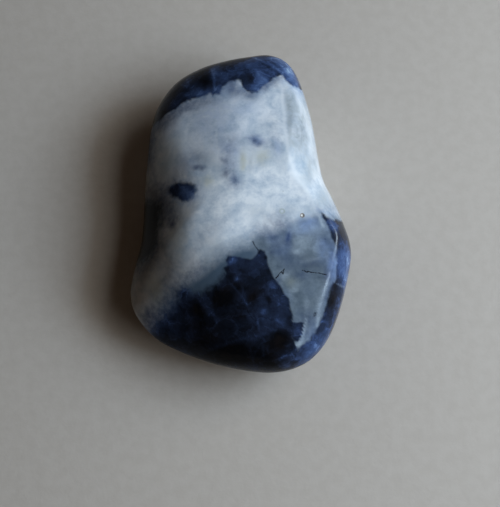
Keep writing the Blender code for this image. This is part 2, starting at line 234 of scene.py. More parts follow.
# A spot is (right, up, its half widths, strength), then the degrees that it is turned by, if any.
# It fades outwards.
SPOTS = {
    # Along the left rim and the left flank the ink spots are painted shade; elsewhere they are dark blue
    # specks and haze.
    "ink_and_shade": (
        (-12.1, 13, 0.7, 2.8, 0.35), (-12.1, 1.7, 0.7, 1, 0.3), (-12.8, -1.4, 0.46, 1, 0.3),
        (-3.4, 19, 0.46, 0.35, 0.3), (-12.1, 12.9, 0.9, 2, 0.3), (-12.7, 10.1, 0.8, 1.6, 0.22),
        (-11.2, 15, 0.8, 0.8, 0.2), (-8.3, 2.5, 0.7, 1, 0.1), (-5.2, 17.7, 1.6, 0.6, 0.35, 12),
        (-2.1, 19.5, 0.8, 0.7, 0.55), (-1.6, 18.7, 1, 0.6, 0.45), (0, 18.5, 1, 0.7, 0.5),
        (1.5, 19.4, 0.8, 0.6, 0.3, 35), (2.9, 19.8, 0.6, 0.6, 0.3), (-11.8, 14.3, 0.46, 2.3, 0.55, 5),
        (-11.4, 14, 0.5, 1.6, 0.45), (-11, 15.4, 1.2, 0.9, 0.5), (-10.4, 14.6, 0.9, 0.9, 0.4),
        (-9.1, 15.2, 0.9, 0.6, 0.15), (-9, 15.8, 1.3, 0.8, 0.5, 30), (-7.6, 16.8, 1.4, 0.6, 0.18),
        (-7.2, 16.9, 1.6, 0.6, 0.45, 20), (2.9, 15.2, 1.2, 1.4, 0.12), (5.4, 14.8, 0.9, 3, 0.17, 10),
        (-12, 12, 0.46, 3, 0.4), (-11.7, 11, 0.46, 1.6, 0.3), (-11.6, 11.5, 0.5, 1.5, 0.4),
        (-11.3, 10.8, 0.46, 2.1, 0.25), (-11.3, 13.3, 0.7, 1.6, 0.4), (-6.1, 11.3, 1.6, 1.2, 0.22),
        (-2.9, 10.7, 0.46, 0.46, 0.5), (-2.4, 12, 1, 0.8, 0.3), (-2.3, 13.1, 1.8, 0.9, 0.18),
        (0.5, 13.1, 0.46, 0.3, 0.7, -20), (0.8, 13.1, 1.3, 0.7, 0.3, -10), (1, 12.7, 0.39, 0.3, 0.55),
        (2.9, 12.7, 0.9, 1.4, 0.28), (6.2, 13.6, 0.8, 2.3, 0.1, -10), (7.4, 11.5, 0.46, 1.6, 0.12, -10),
        (-11.1, 6.8, 1.2, 1.6, 0.55), (-10.6, 7.6, 0.8, 0.7, 0.3), (-9.6, 7.3, 0.6, 0.9, 0.4),
        (-9.2, 7.3, 0.7, 0.7, 0.35), (-8.8, 8.5, 0.46, 0.46, 0.35), (-8.6, 9.4, 0.6, 0.6, 0.25),
        (-7.2, 10.2, 1.2, 0.6, 0.12), (-6.2, 10, 0.46, 0.3, 0.75), (-5.48, 9.91, 0.37, 0.28, 0.6),
        (-2.7, 9.3, 0.49, 0.5, 0.5, 30), (-2.4, 9.9, 1, 1.4, 0.3), (-1.8, 8.5, 0.39, 0.5, 0.5),
        (-1.7, 8.3, 0.9, 0.8, 0.25), (-10.4, 6.2, 1.2, 0.9, 0.5), (-9.8, 5.8, 0.9, 0.6, 0.3),
        (-9.5, 4.3, 1, 1.4, 0.6), (-9, 3.4, 0.39, 0.6, 0.75), (-8.8, 5.3, 1, 0.7, 0.3),
        (-8.4, 4.2, 0.6, 0.6, 0.3), (3.4, 4.4, 1.6, 0.8, 0.2, 15), (7.9, 4.8, 0.9, 0.7, 0.15, 40),
        (9.5, 5.1, 0.8, 0.7, 0.3, -40), (-11.6, 0.6, 0.9, 1.8, 0.6), (-6.7, 0.4, 0.7, 0.7, 0.12),
        (-5.8, 1.6, 1.6, 1.2, 0.12, 30), (-4.9, 1.3, 0.9, 0.7, 0.08), (-4, 3.2, 1.4, 0.9, 0.15, 30),
        (1.2, 2.3, 1.2, 0.7, 0.25, 20), (2.3, 3.1, 2.3, 0.9, 0.3, 14), (2.5, 1.8, 0.9, 0.7, 0.35),
        (3, 0.3, 1, 0.7, 0.3), (3.5, 1.2, 0.9, 0.9, 0.2), (3.6, 3.3, 0.9, 0.8, 0.35, 30),
        (4.4, 1.6, 0.46, 1, 0.6, -8), (8.7, 1.6, 0.8, 0.9, 0.3), (9.6, 0.1, 0.35, 1, 0.3),
        (-13.1, -1.4, 0.35, 1.2, 0.4), (-12.2, -1, 0.9, 1.4, 0.4), (-9.6, -3.3, 1, 1, 0.25),
        (-9, -1.9, 1.2, 1.8, 0.3, 35), (-6.9, -2.5, 1.2, 0.8, 0.3, 35), (-6.4, -1, 0.9, 1, 0.12),
        (-6.1, -1, 0.8, 0.9, 0.15), (-5.8, -1.9, 0.6, 0.7, 0.15), (3.35, -3.06, 0.29, 0.7, 0.35, -20),
        (4.2, -0.8, 0.9, 1, 0.3), (6, -2.6, 1, 0.6, 0.3), (6.1, -1.2, 1.4, 0.9, 0.3),
        (6.4, -2.4, 1.2, 0.46, 0.1), (7.9, -1, 0.9, 0.8, 0.28), (9, -2.6, 0.6, 1, 0.3),
        (9.5, -1.7, 0.6, 2.3, 0.38), (-11.9, -7, 0.7, 1, 0.3), (-11.9, -7, 0.7, 0.9, 0.3),
        (-11.6, -7, 0.7, 0.9, 0.25), (-10.9, -6.5, 1, 1.4, 0.35, 30), (-9.8, -5.1, 1.3, 0.9, 0.45, 40),
        (6.9, -4.4, 0.8, 0.8, 0.15), (8.3, -6.1, 0.35, 1.2, 0.15, -15), (8.8, -4.7, 0.46, 1.4, 0.35, -20),
        (-11.8, -7.9, 0.7, 1, 0.3, 30), (5.8, -7.2, 0.6, 0.8, 0.25), (6.8, -9.5, 0.7, 0.6, 0.3),
        (6.9, -7.5, 0.8, 1, 0.35, -20), (7.5, -8.6, 0.7, 0.9, 0.4, -20),
    ),
    "navy": (
        (1.79, 11.04, 0.12, 0.12, 0.4), (3.29, 8.44, 0.1, 0.1, 0.4), (3.81, 7.22, 0.12, 0.12, 0.45),
        (2.9, 1.8, 0.6, 0.5, 0.42), (4.36, 1.91, 0.25, 0.9, 0.55, -8), (8.67, 1.73, 0.23, 0.18, 0.5),
        (4.62, -0.25, 0.23, 0.16, 0.5), (7.45, -6.99, 0.18, 0.5, 0.8, -12),
        (7.86, -9.36, 0.6, 0.28, 0.75, 30), (8.44, -8.61, 0.35, 0.28, 0.6, 30),
        (4.8, -12.48, 0.7, 0.21, 0.85, 20),
    ),
    "blue": (
        (-4, 20.7, 0.7, 1.4, 0.45), (-1.6, 21.9, 1.6, 0.6, 0.08, 12), (-0.7, 21.9, 1.6, 0.6, 0.15, 5),
        (-0.2, 21.2, 1.5, 0.6, 0.3), (0.6, 22.4, 0.9, 0.46, 0.3), (1.4, 22, 1.4, 0.6, 0.4, -25),
        (2.3, 21, 0.9, 0.8, 0.5), (3.5, 22.1, 1.2, 0.6, 0.4, -25), (4, 21.9, 1.4, 0.7, 0.5, -35),
        (4.7, 21, 0.8, 1.3, 0.95, 20), (4.9, 22.4, 1.6, 0.7, 0.6, -30), (-7.2, 19.6, 0.9, 0.7, 0.35),
        (-5.8, 18.9, 1, 0.8, 0.3), (-5.8, 18.5, 1.5, 0.3, 0.7, 6), (-5.2, 20.5, 1.2, 0.6, 0.2, 15),
        (-4.3, 20.5, 0.8, 0.7, 0.15), (-4, 17.6, 3, 1.4, 0.2), (-3.9, 18.9, 1, 0.6, 0.35),
        (-3.6, 19, 0.35, 0.7, 0.9), (-2.7, 20.3, 1, 1, 0.75), (-2.1, 18.9, 1.2, 0.7, 0.5),
        (0.2, 20, 0.9, 0.9, 0.3), (0.7, 19.1, 0.8, 0.6, 0.4), (1.4, 19.8, 0.7, 0.6, 0.5),
        (5.5, 19.6, 0.46, 0.7, 0.9), (5.8, 18.7, 0.46, 0.9, 0.3), (-9.7, 14.7, 1.2, 1.6, 0.3),
        (-9, 17, 0.9, 0.46, 0.35, 45), (-4.4, 15.4, 3.9, 3, 0.42), (0, 16.8, 1.8, 1.4, 0.2),
        (-6.7, 10.8, 1.4, 1.4, 0.3), (-2.5, 12, 1.4, 1, 0.3), (-2.1, 12, 1.6, 1.2, 0.25),
        (0.7, 13.1, 0.8, 0.5, 0.9, -15), (3.1, 12.3, 0.46, 1, 0.42, 10), (-9, 7.2, 0.6, 0.8, 0.3),
        (-7.6, 10.1, 0.9, 1.2, 0.2), (-7.4, 7.1, 1, 0.8, 0.6), (-2.4, 10.1, 0.8, 0.9, 0.32),
        (-1.8, 8.5, 0.6, 0.6, 0.5), (-6.6, 6.4, 0.46, 0.46, 0.6), (2.7, 1.8, 0.9, 0.7, 0.4),
        (3.8, 0.4, 1.2, 0.9, 0.25), (4.4, 1.9, 0.35, 0.9, 0.75, -8), (6.5, 3.2, 1.8, 0.9, 0.95, 10),
        (8.3, 1.2, 0.9, 0.9, 0.5), (8.4, -0.1, 0.6, 1, 0.4), (9.6, 3.1, 0.7, 0.7, 0.6),
        (9.9, 2.9, 0.6, 0.9, 0.25), (-2.1, -1, 0.6, 0.35, 0.35), (-1.5, -2.9, 0.6, 0.46, 0.3),
        (-1.2, -1.7, 1.4, 0.8, 0.2), (1, -0.4, 0.6, 0.8, 0.35), (9.4, -1, 0.5, 1.7, 0.95),
        (10.7, -2.1, 1, 1.4, 0.9), (10.9, -1, 1, 1.8, 1), (10.9, -1.2, 0.9, 1.7, 1),
        (-8, -5.6, 0.7, 0.8, 0.4), (1.4, -5.7, 1.4, 0.8, 0.2), (2.5, -3.8, 0.6, 0.8, 0.3),
        (3.5, -5.4, 0.9, 1.2, 0.5, -30), (9.2, -6.5, 0.6, 2.3, 0.35, -15), (9.9, -5.4, 0.7, 2.8, 0.25, -15),
        (1.7, -7.5, 1.6, 2.1, 0.15), (1.8, -7.5, 1.4, 1.4, 0.5), (3.8, -8.1, 0.6, 0.8, 0.5),
        (5.5, -9.1, 0.6, 1, 0.65), (7.6, -9.8, 1.2, 1.2, 0.35), (8.3, -11.2, 1.6, 1, 0.45, 30),
    ),
    "dark": (
        (-9.5, 16.4, 0.6, 0.46, 0.3), (-8.2, -5.6, 0.6, 0.6, 0.2), (5.5, -9.5, 0.46, 0.46, 0.18),
        (0.7, -4.7, 0.46, 0.46, 0.17), (2.1, -8.1, 0.46, 0.46, 0.17), (-6.2, -10.9, 0.6, 0.46, 0.17),
        (-2.8, 21.1, 0.35, 0.35, 0.2), (9.9, 1.1, 0.6, 0.7, 0.08), (2.5, 21.6, 0.8, 0.46, 0.2, -35),
        (-5.2, 20, 0.7, 0.9, 0.7), (-4, 19.6, 0.6, 0.46, 0.3), (-1.2, 19.7, 0.46, 0.46, 0.25),
        (0.1, 20.3, 0.5, 0.6, 0.6), (-11.6, 3.6, 1.2, 3.9, 0.7), (-11.3, 2.9, 0.9, 2.8, 0.9),
        (10.6, 2.5, 0.9, 1.4, 0.45), (-2.3, -1.8, 0.46, 0.46, 0.2), (-2.1, -2.5, 0.46, 0.46, 0.2),
        (-2, -3.5, 0.9, 0.7, 0.35), (-0.7, -1.8, 0.46, 0.46, 0.2), (9.9, -3.3, 0.35, 0.7, 0.25),
        (10.1, -2.5, 0.46, 2.3, 0.15), (-7.7, -5.8, 0.7, 0.46, 0.2), (-5.9, -6.8, 0.8, 1.5, 1, 15),
        (-3.1, -5.1, 1.3, 1, 0.9, 20), (-3, -4.2, 0.6, 0.46, 0.2), (-3, -4.3, 0.6, 0.46, 0.25),
        (-3, -7, 0.46, 0.46, 0.15), (-1.2, -4.3, 0.6, 0.46, 0.15), (-1.2, -7, 0.6, 0.6, 0.2),
        (-1, -6.8, 0.9, 0.7, 0.18), (-0.5, -4, 1.6, 0.6, 0.18), (0.3, -5.1, 0.6, 0.6, 0.85),
        (0.7, -4.2, 0.6, 0.46, 0.2), (0.7, -7, 0.6, 0.46, 0.2), (1.3, -4.3, 0.8, 0.7, 0.22),
        (2.2, -5.3, 0.35, 0.35, 0.7), (9.6, -5.4, 0.6, 2.3, 0.95, -12), (-8.8, -8.3, 0.46, 0.46, 0.2),
        (-6.9, -8.4, 1.4, 0.9, 0.5), (-6.7, -10.2, 0.6, 0.6, 0.25), (-6.2, -10.5, 0.6, 0.6, 0.2),
        (-5, -9.8, 1.2, 0.9, 0.6), (-3.9, -9.3, 0.7, 0.9, 0.2), (-3.9, -9.4, 0.6, 0.8, 0.22),
        (-3.2, -8.3, 1.2, 1, 0.32), (-2.7, -7.3, 0.8, 0.46, 0.2), (-1.6, -7.5, 0.9, 0.8, 0.2),
        (-0.8, -9.1, 2.8, 0.7, 0.25), (0.7, -8.8, 0.6, 0.7, 0.2), (1.3, -8.1, 0.8, 0.7, 0.22),
        (1.7, -7.5, 1.6, 2.1, 0.12), (3.4, -10, 1.4, 1.2, 1, 15), (-5.8, -11, 1, 0.6, 0.28),
        (-5.3, -11.6, 0.9, 0.46, 0.25), (-4.9, -11.4, 0.8, 0.6, 0.15), (-3.2, -11.8, 1.2, 0.46, 0.15),
        (-2.7, -12.2, 0.9, 0.46, 0.2), (-2.3, -12.3, 4.6, 0.7, 0.5, 6), (-2, -11.4, 2.3, 0.9, 1, 8),
        (-1.2, -12.5, 1.4, 0.46, 0.25), (0.7, -12.3, 1.6, 0.7, 0.4, -5), (2.5, -12.1, 1.2, 0.6, 0.2),
        (2.5, -12.2, 0.7, 1, 0.35), (2.8, -12.3, 0.7, 0.8, 0.2), (4.4, -12.5, 0.6, 0.35, 0.25),
    ),
    "pale": (
        (-6.9, 18.1, 0.46, 0.46, 0.25), (-5.8, -7.5, 0.7, 0.46, 0.24), (2.8, 21, 0.35, 0.6, 0.2),
        (10.2, 2.6, 0.46, 0.7, 0.2), (6.6, -11.6, 0.6, 0.8, 0.2), (-2.8, -1.2, 0.46, 0.46, 0.2),
        (-6.6, 18.7, 0.7, 0.6, 0.1), (-2.1, -0.8, 0.6, 0.6, 0.1), (-4.5, 21, 0.6, 0.6, 0.2),
        (-4.28, 20.97, 0.23, 0.7, 0.3, -20), (-1.4, 21, 0.6, 0.6, 0.2), (-1.2, 20.7, 0.6, 0.46, 0.2),
        (-1.2, 20.7, 1.4, 0.4, 0.2, -5), (-0.2, 21.8, 0.9, 0.46, 0.25), (-0.2, 21.9, 1, 0.46, 0.2),
        (-0.2, 21.2, 1.5, 0.6, 0.15), (0.12, 21.09, 0.35, 0.23, 0.3), (0.7, 20.7, 0.7, 0.7, 0.3),
        (0.8, 20.6, 0.6, 0.46, 0.25), (1, 21, 0.46, 0.46, 0.25), (2.1, 22.4, 1.2, 0.46, 0.2, -20),
        (2.3, 22.4, 1.4, 0.35, 0.25, -15), (2.4, 21, 0.8, 0.6, 0.3, -30), (3.2, 22.4, 0.9, 0.46, 0.3, -20),
        (4, 21.7, 0.9, 0.8, 0.35, -30), (4.5, 21, 0.8, 1, 0.35, 20), (-8.1, 18.7, 0.7, 0.6, 0.15),
        (-7.6, 19.6, 0.6, 0.7, 0.2), (-7.4, 19.8, 0.6, 0.6, 0.15), (-6.2, 17.4, 1.2, 0.46, 0.2),
        (-6, 18.7, 0.9, 0.6, 0.2), (-6, 18.9, 0.8, 0.9, 0.2), (-5.5, 19.6, 0.9, 0.7, 0.25),
        (-5.1, 20.5, 0.9, 0.7, 0.15), (-4.7, 18.9, 0.46, 0.6, 0.15), (-4.3, 20.5, 0.7, 0.7, 0.15),
        (-4.16, 19.7, 0.18, 0.8, 0.35, -5), (0, 19.4, 1, 0.6, 0.3), (0.7, 19.1, 0.8, 0.46, 0.5),
        (1.3, 20.2, 0.46, 0.46, 0.2), (1.4, 20.3, 0.6, 0.46, 0.2), (1.6, 19.8, 0.46, 0.46, 0.2),
        (1.6, 19.7, 0.7, 0.46, 0.3), (4.6, 20.2, 0.7, 0.7, 0.45), (5.3, 19.2, 0.6, 0.6, 0.3),
        (-7.3, 7.2, 1, 0.8, 0.36), (-6.7, 6.8, 0.8, 0.8, 0.3), (-7.7, 5.7, 0.8, 0.7, 0.3),
        (-7.4, 5.5, 0.9, 1.6, 0.3), (-7.3, 4.7, 0.9, 1, 0.5), (8.6, 4, 0.6, 0.46, 0.15),
        (9.2, 3.6, 0.7, 0.7, 0.25), (-10.6, 0.2, 0.8, 1, 0.2), (0.9, 1.9, 1, 0.46, 0.2),
        (2.5, 1.6, 1.2, 0.6, 0.2), (4.2, 1.3, 0.46, 0.6, 0.2), (4.4, 2.7, 1, 0.6, 0.2),
        (5.3, 3.2, 0.7, 0.6, 0.55), (5.43, 0.29, 0.46, 0.29, 0.5), (5.9, 0.6, 0.7, 0.9, 0.25),
        (6, 1.6, 1, 0.7, 0.45), (7.2, 2.9, 1.2, 0.7, 0.35), (7.4, 0.4, 0.8, 0.6, 0.15),
        (7.6, 1.2, 0.7, 0.8, 0.25), (9.6, 3.1, 0.7, 0.7, 0.15), (9.9, 3.1, 0.6, 0.6, 0.15),
        (10.5, 0.4, 0.46, 2.3, 0.12), (10.9, 3.2, 0.35, 0.6, 0.25), (11.1, 2, 0.46, 1.2, 0.35),
        (-1.6, -0.8, 1, 0.6, 0.2), (-1.5, -3.04, 0.29, 0.29, 0.5), (-1.4, -0.5, 0.9, 0.6, 0.1),
        (-1.4, -0.4, 1.4, 0.6, 0.15), (0.2, -1, 0.46, 0.46, 0.2), (1.6, -2, 0.6, 0.7, 0.15),
        (4, -2.5, 0.46, 0.7, 0.45, -30), (9, -0.3, 0.46, 0.7, 0.2), (11, -1, 0.8, 1.5, 0.35),
        (-7.7, -4.3, 1, 0.46, 0.2), (-7.6, -4.2, 0.9, 0.46, 0.2), (-6.5, -4.4, 0.7, 0.6, 0.2),
        (-5.4, -5, 1.4, 0.6, 0.27), (1.5, -6.7, 0.42, 0.35, 0.6), (1.6, -7, 0.46, 0.46, 0.15),
        (2.5, -3.8, 0.46, 0.7, 0.2), (4.28, -6.76, 0.17, 0.4, 0.3), (4.4, -6.1, 0.35, 0.6, 0.2),
        (5.1, -4.1, 0.46, 0.8, 0.35, -30), (6.6, -6.2, 0.35, 0.8, 0.25), (9.8, -4.9, 0.35, 0.46, 0.25),
        (9.9, -5.1, 0.35, 0.6, 0.15), (10.9, -5.4, 0.6, 2.3, 0.35, -15), (10.9, -3.6, 0.6, 0.9, 0.3),
        (-11.8, -8.6, 1, 1, 0.3), (-11, -8.3, 0.9, 1.2, 0.3), (-10.9, -9, 1.6, 0.6, 0.2, 20),
        (-9.5, -7.7, 1.8, 1.2, 0.2), (-6.9, -7.9, 0.9, 0.7, 0.15), (-6.7, -9, 0.7, 0.46, 0.15),
        (-6.2, -8, 1.3, 1.2, 0.17), (-5.8, -7.2, 0.6, 0.7, 0.15), (-5.5, -7.3, 0.7, 0.6, 0.15),
        (-1.5, -8.1, 0.35, 0.7, 0.2), (-1.2, -8.3, 0.7, 0.7, 0.15), (3.19, -7.72, 0.17, 0.35, 0.55, -15),
        (3.5, -7.9, 0.46, 0.46, 0.15), (5.1, -9.3, 0.46, 0.6, 0.25), (7.5, -10, 1, 1, 0.2, 30),
        (8.7, -7.7, 0.7, 0.9, 0.28), (8.7, -9.3, 0.8, 1.3, 0.3, -30), (9, -8, 0.46, 0.6, 0.2),
        (9, -7.7, 0.46, 0.7, 0.15), (9.1, -8.1, 0.46, 0.6, 0.2), (9.2, -10, 0.7, 1.2, 0.4, -30),
        (9.6, -7.2, 0.6, 1.5, 0.3, -20), (4.3, -10.6, 0.46, 0.46, 0.2), (4.3, -13, 0.46, 0.35, 0.2),
        (4.3, -12.9, 0.7, 0.35, 0.3), (4.4, -11, 0.6, 0.6, 0.2), (4.9, -11.8, 1.2, 0.7, 0.25, 10),
        # The strong small spot at (5.58, -10.57) is a painted highlight where the lower right ridges end.
        (5.58, -10.57, 0.3, 0.21, 0.9, 35), (6.1, -11.2, 1, 0.9, 0.3), (6.5, -10.6, 0.6, 0.46, 0.2),
        (6.5, -12.5, 1.2, 0.6, 0.35, 25), (6.6, -12.2, 0.6, 0.46, 0.2), (7.2, -11.2, 2.1, 0.9, 0.22, 30),
        (8.3, -10.9, 1.4, 0.9, 0.15, 30), (8.3, -11.2, 1.8, 0.7, 0.35, 35),
    ),
    "grey": (
        (-2.3, 18.7, 1, 0.6, 0.35), (-2.1, 18.8, 1, 0.6, 0.5), (0.2, 18.2, 0.9, 0.6, 0.6),
        # Down the upper right flank these grey spots are painted shade, dimming the side that faces the
        # light, partly a greyer tone of its own.
        (4.6, 18.7, 0.8, 1.5, 0.6, -8), (4.7, 17.4, 0.46, 1.6, 0.7, -4), (4.9, 17.3, 0.39, 1.6, 0.6, -8),
        (1.7, 14.8, 1, 0.8, 0.2), (4.62, 14.5, 0.29, 1.8, 0.5, -4), (5.3, 16.6, 0.7, 1.7, 0.5, -10),
        (5.4, 15.2, 0.6, 2.3, 0.5, -10), (6.1, 15.4, 0.6, 3.2, 0.55, -10), (6.2, 14.3, 0.6, 2.3, 0.45, -12),
        (-8.6, 12.9, 1.2, 1.6, 0.5), (-6.4, 11, 1.8, 0.8, 0.7), (-5.8, 10.8, 2.1, 1.2, 0.25),
        (0, 12, 1.8, 1.4, 0.3), (0.1, 10.5, 0.35, 1, 0.5), (1.3, 11, 0.8, 1, 0.45),
        (3.7, 10.8, 1.2, 1.6, 0.2), (5.3, 13.3, 0.6, 1.4, 0.5, -8), (6.1, 13.1, 0.6, 2.3, 0.35, -12),
        (6.7, 12.4, 0.7, 2.1, 0.45, -12), (-9.7, 10.2, 1, 3, 0.55), (-3.2, 9.6, 1.2, 1.2, 0.25),
        (6.9, 10.2, 0.7, 2.3, 0.5, -15), (7.4, 9.6, 0.6, 1.6, 0.3, -15), (0.9, 4.8, 1.6, 0.9, 0.2, -20),
        (4.6, 5, 2.3, 0.9, 0.15, -15), (7.2, 4.4, 0.6, 1.4, 0.2, 30), (8.3, 5.8, 0.9, 0.9, 0.3, -35),
        (8.3, 6.4, 0.8, 1.6, 0.4, -30), (9.2, 5.6, 0.7, 1.2, 0.3, -30), (10.2, 5.6, 0.6, 1.2, 0.3),
        (-8.1, 1.1, 1.4, 2.8, 0.35), (-4.4, 0.6, 1.6, 1, 0.3, 20), (-10.4, -3.3, 1.8, 3, 0.4, 20),
        (7.2, -1, 1.3, 1, 0.55),
    ),
    "cream": (
        (-0.8, 10.8, 0.42, 1.2, 0.85), (1.5, 11.2, 0.9, 0.9, 0.4), (-4.9, 8.3, 0.8, 0.7, 0.6),
        (-8.6, 2.7, 0.9, 2.3, 0.3), (4.7, -3.3, 0.7, 0.8, 0.45, -30), (-10.9, -4.2, 0.9, 3, 0.4, 15),
    ),
}
# A stroke is (half width, strength, its course).
STROKES = {
    "pale": (
        # The first two pale strokes are painted highlights along the top ridge of the right side.
        (0.22, 0.65, ((3.58, 20.51), (3.76, 17.74), (3.93, 15.43), (4.22, 12.88), (4.74, 10.34),
            (5.55, 8.61), (6.82, 6.64), (7.86, 4.56), (8.44, 3.18))),
        (0.28, 0.5, ((4.97, 19.35), (6.24, 16.35), (6.82, 13.92), (7.28, 11.04))),
        # A painted soft highlight along the crease on the left.
        (0.4, 0.35, ((-8.55, -3.41), (-5.78, -0.06), (-3.24, 2.72), (-1.85, 4.33))),
        # The next two are painted highlights along the two short ridges at the lower right corner.
        (0.2, 0.5, ((8.96, -3.52), (8.44, -4.68), (8.09, -5.84), (7.92, -6.99), (7.72, -8.38))),
        (0.17, 0.5, ((6.51, -7.45), (6.3, -8.84), (6.12, -9.76), (5.55, -10.57))),
        (0.13, 0.5, ((-4.55, 21.3), (-4.28, 20.74), (-4.13, 20.05), (-4.06, 18.83))),
        (0.14, 0.5, ((0.2, 22.65), (1.39, 22.24), (2.31, 21.78), (3.12, 21.32), (3.77, 20.93))),
        (0.12, 0.4, ((0.44, 21.17), (1.04, 20.74), (1.62, 20.16), (2.05, 19.7))),
        (0.1, 0.6, ((2.05, 22.16), (2.89, 21.49), (3.64, 20.86))),
        (0.16, 0.32, ((-2.23, -3.41), (-1.39, -4.33), (-0.81, -5.26), (-0.27, -6))),
        (0.12, 0.28, ((-0.88, -3.78), (-0.69, -4.68), (-0.38, -5.75))),
        (0.12, 0.4, ((0.73, -6.99), (0.92, -7.92), (1.1, -8.96))),
        (0.2, 0.28, ((-6.05, -5.26), (-5.2, -6.07), (-4.21, -6.99), (-3.84, -7.97))),
        (0.15, 0.32, ((-5.93, -11.91), (-3.84, -10.8), (-1.73, -10.11), (0.23, -9.69), (1.47, -9.32),
            (2.95, -8.71))),
        (0.12, 0.28, ((0.17, -9.94), (0.23, -11.38), (0.29, -12.65))),
        (0.12, 0.28, ((1.58, -9.94), (1.5, -11.38), (1.47, -12.88))),
        (0.14, 0.7, ((3.43, -12.28), (4.04, -11.96), (4.8, -11.67))),
        (0.2, 0.3, ((3.93, -12.65), (4.85, -12.31), (5.78, -11.96))),
        (0.14, 0.35, ((-3.81, 14.27), (-3.84, 13.11), (-3.76, 11.96), (-3.7, 10.8))),
        (0.25, 0.3, ((5.89, -0.98), (8.09, -0.52))),
    ),
    "ink_and_shade": (
        (0.35, 0.45, ((1.73, 19.12), (3.7, 20.51))),
    ),
    "navy": (
        (0.1, 0.7, ((0.35, 1.4), (0.6, 1.03), (0.97, 0.47))),
    ),
}
# Black hairline cracks, each a chain of places, and the two pits: (right, up, radius).
CRACKS = (
    ((3, -2.81), (3.47, -2.28), (3.95, -1.79), (3.81, -2.4), (3.62, -2.07)),
    ((6.04, -1.94), (6.38, -2.07), (7.05, -2.16), (8, -2.28), (8.8, -2.48)),
)
# The two small pits: (right, up, radius).
OPEN_PIT = ((6.05, 4.4), 0.22)
FILLED_PIT = ((3.72, 4.89), 0.27)

# The markings wander a little from their drawn edges, and further on the side that the viewer can't see.
WANDER_SEED = 7
WANDER_SIZES = (1.1, 0.45)
WANDER_REACH = (0.16, 0.07)
HIDDEN_WANDER_SIZE = 9.0
HIDDEN_WANDER_REACH = 6.0


def closed_curve(points, steps):
    """Points along the smooth closed curve through these, as a Catmull-Rom spline."""
    knots = np.array(points, float)
    before, after, next_after = (np.roll(knots, shift, axis=0) for shift in (1, -1, -2))
    t = (np.arange(steps) / steps)[None, :, None]
    a, b, c, d = (k[:, None, :] for k in (before, knots, after, next_after))
    bend = 2 * b + (c - a) * t + (2 * a - 5 * b + 4 * c - d) * t**2 + (3 * b - a - 3 * c + d) * t**3
    return (bend / 2).reshape(-1, knots.shape[1])


def around(directions, column):
    """A column of LEAN read round the pebble in these directions, eased from one line to the next."""
    table = np.array(LEAN, float)
    edges = np.append(table[:, 0], table[0, 0] + 360)
    values = np.append(table[:, column], table[0, column])
    degrees = (np.degrees(directions) - edges[0]) % 360 + edges[0]
    line = np.clip(np.searchsorted(edges, degrees, side="right") - 1, 0, len(table) - 1)
    t = (degrees - edges[line]) / (edges[line + 1] - edges[line])
    return values[line] + (values[line + 1] - values[line]) * t * t * (3 - 2 * t)


def smooth_max(a, b, roundness):
    """The larger of two distances, blended over the roundness where they are close."""
    overlap = np.maximum(roundness - np.abs(a - b), 0) / roundness
    return np.maximum(a, b) + overlap**2 * roundness / 4


def outline_radius(directions):
    curve = closed_curve(OUTLINE, CURVE_STEPS)
    turn = np.arctan2(curve[:, 1], curve[:, 0])
    order = np.argsort(turn)
    return np.interp(directions, turn[order], np.hypot(curve[:, 0], curve[:, 1])[order], period=2 * math.pi)


def outside(points):
    """How far points lie outside the pebble; negative is inside."""
    x, y, z = points.T
    directions = np.arctan2(y, x)
    waist, above, below, roundness = (around(directions, column) for column in (1, 2, 3, 4))
    rise = z - waist
    drawn_in = np.where(rise > 0, above, below) * (rise / LEAN_RISE) ** 2
    flank = np.hypot(x, y) - outline_radius(directions) + drawn_in
    across, along = x - SUMMIT[0], y - SUMMIT[1]
    bend = np.where(across < 0, TOP_BEND[0], TOP_BEND[1])
    top = z - HEIGHT + across**2 / (2 * bend) + along**2 / (2 * TOP_BEND[2])
    for _, faces, rises, place, blend in FACETS:
        turn, lift = math.radians(faces), math.radians(rises)
        normal = np.array([math.cos(turn) * math.cos(lift), math.sin(turn) * math.cos(lift), math.sin(lift)])
        top = smooth_max(top, (points - np.array(place)) @ normal, blend)
    hollow = HOLLOW_RADIUS - np.linalg.norm(points - np.array(HOLLOW_CENTRE), axis=1)
    top = smooth_max(top, hollow, HOLLOW_ROUNDNESS)
    under = x**2 / (2 * UNDER_BEND[0]) + y**2 / (2 * UNDER_BEND[1]) - z - UNDER_DEPTH
    body = smooth_max(smooth_max(flank, top, roundness), under, UNDER_ROUNDNESS) + POLISHED_OFF
    return smooth_max(body, -z, REST_ROUNDNESS)


def surface_points(directions):
    """Where rays from the heart of the pebble, one for each direction, leave it."""
    heart = np.array([0, 0, HEART_LEVEL])
    near, far = np.zeros(len(directions)), np.full(len(directions), REACH)
    for _ in range(BISECTIONS):
        middle = (near + far) / 2
        inside = outside(heart + directions * middle[:, None]) < 0
        near, far = np.where(inside, middle, near), np.where(inside, far, middle)
    return heart + directions * near[:, None] - BOX_MIDDLE


def seen(points):
    """Where the viewer sees points: millimetres right and up of the middle of the view."""
    ray = points - EYE
    depth = -(ray @ TOWARDS_VIEWER)
    return np.stack([ray @ VIEW_RIGHT, ray @ VIEW_UP], 1) * (VIEW_DISTANCE / depth)[:, None]


def place_on_top(right, up):
    """The place on the pebble that the viewer sees at this spot of the view."""
    ray = VIEW_RIGHT * right + VIEW_UP * up - TOWARDS_VIEWER * VIEW_DISTANCE
    near = (HEIGHT + 1 - EYE[2]) / ray[2]
    far = (HEART_LEVEL - EYE[2]) / ray[2]
    for _ in range(BISECTIONS):
        middle = (near + far) / 2
        if outside((EYE + ray * middle + BOX_MIDDLE)[None, :])[0] > 0:
            near = middle
        else:
            far = middle
    return EYE + ray * near


